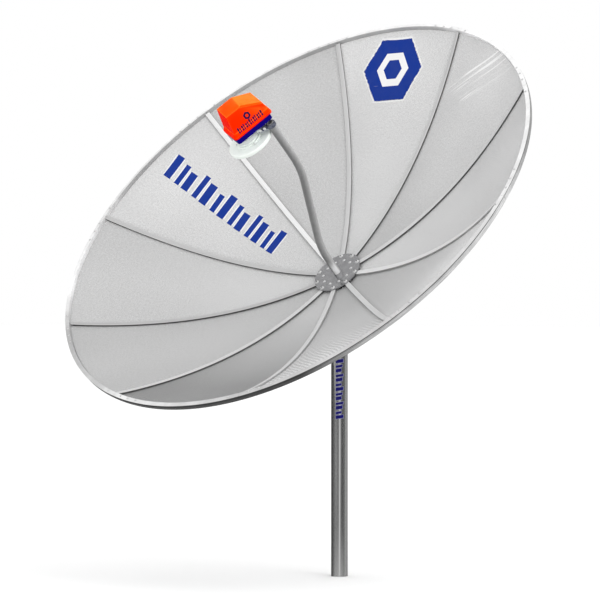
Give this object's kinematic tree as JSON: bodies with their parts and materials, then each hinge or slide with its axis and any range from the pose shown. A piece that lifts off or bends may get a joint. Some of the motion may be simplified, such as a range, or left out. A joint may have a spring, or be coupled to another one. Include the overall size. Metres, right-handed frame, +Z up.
{
  "type": "satellite dish",
  "caption": "Round mesh satellite dish on a tubular mast, with curved ribs, a channel rim, a bent feed tube and a boxed receiver with a scalar ring.",
  "frame": {"origin": "centre of the mast's open foot", "axes": "+Z up the mast, the dish faces -Y and up at rest, +X to the right of someone who looks along +Y into the bowl"},
  "size_m": [1.5, 1.0348, 1.6055],
  "materials": {
    "mesh_aluminium": "fine expanded mesh, light grey",
    "rib_aluminium": "mill finish extrusion",
    "rim_aluminium": "rolled, lightly polished lip",
    "hub_steel": "dark galvanised plate",
    "zinc_steel": "bright zinc plated",
    "rivet_aluminium": "bright",
    "galvanised_steel": "hot-dip galvanised",
    "clamp_steel": "dark passivated sheet",
    "ring_white": "white powder coat on casting",
    "cap_plastic": "moulded membrane",
    "tray_blue": "navy painted casting",
    "cover_orange": "moulded, glossy orange",
    "connector_nickel": "nickel plated",
    "board_green": "solder mask",
    "shield_tin": "tinned sheet"
  },
  "bodies": {
    "mast": {"mast_tube": "galvanised_steel"},
    "azimuth_head": {"azimuth_sleeve": "galvanised_steel", "azimuth_bolts": "zinc_steel", "pivot_bolt": "zinc_steel", "elevation_nuts": "zinc_steel"},
    "dish": {"petal_01": "mesh_aluminium", "petal_02": "mesh_aluminium", "petal_03": "mesh_aluminium", "petal_04": "mesh_aluminium", "petal_05": "mesh_aluminium", "petal_06": "mesh_aluminium", "petal_07": "mesh_aluminium", "petal_08": "mesh_aluminium", "petal_09": "mesh_aluminium", "petal_10": "mesh_aluminium", "rib_01": "rib_aluminium", "rib_02": "rib_aluminium", "rib_03": "rib_aluminium", "rib_04": "rib_aluminium", "rib_05": "rib_aluminium", "rib_06": "rib_aluminium", "rib_07": "rib_aluminium", "rib_08": "rib_aluminium", "rib_09": "rib_aluminium", "rib_10": "rib_aluminium", "rim_segment_01": "rim_aluminium", "rim_segment_02": "rim_aluminium", "rim_segment_03": "rim_aluminium", "rim_segment_04": "rim_aluminium", "rim_segment_05": "rim_aluminium", "rim_segment_06": "rim_aluminium", "rim_segment_07": "rim_aluminium", "rim_segment_08": "rim_aluminium", "rim_segment_09": "rim_aluminium", "rim_segment_10": "rim_aluminium", "rim_splices": "rim_aluminium", "rim_screws": "zinc_steel", "hub_front_plate": "hub_steel", "hub_rear_plate": "hub_steel", "hub_bolts": "zinc_steel", "hub_nuts": "zinc_steel", "hub_rivets": "rivet_aluminium", "feed_socket": "rib_aluminium", "feed_grub_screw": "zinc_steel", "feed_tube": "galvanised_steel", "tilt_bracket": "galvanised_steel", "bracket_nuts": "zinc_steel"},
    "feed_clamp": {"lnb_clamp": "clamp_steel", "lnb_clamp_bolts": "zinc_steel"},
    "lnb": {"lnb_throat": "ring_white", "mouth_cap": "cap_plastic", "lnb_base": "tray_blue", "lnb_cover": "cover_orange", "lnb_screws": "zinc_steel", "lnb_connectors": "connector_nickel", "lnb_board": "board_green", "lnb_shield": "shield_tin"},
    "scalar_ring_body": {"scalar_ring": "ring_white", "ring_screws": "zinc_steel"}
  },
  "joints": [
    {"name": "azimuth", "type": "hinge", "parent": "mast", "child": "azimuth_head", "pos_m": [0, 0, 0.72], "axis": [0, 0, 1], "continuous": true},
    {"name": "elevation", "type": "hinge", "parent": "azimuth_head", "child": "dish", "pos_m": [0, -0.045, 0.763], "axis": [-1, 0, 0], "range_deg": [-28, 37]},
    {"name": "focus_slide", "type": "slide", "parent": "dish", "child": "feed_clamp", "axis": [0, -0.7314, 0.682], "range_m": [-0.005, 0.005]},
    {"name": "skew", "type": "hinge", "parent": "feed_clamp", "child": "lnb", "pos_m": [0.0057, -0.3977, 1.24837], "axis": [0, -0.7314, 0.682], "range_deg": [-45, 45]},
    {"name": "ring_slide", "type": "slide", "parent": "lnb", "child": "scalar_ring_body", "axis": [0, -0.7314, 0.682], "range_m": [-0.008, 0.004]}
  ]
}
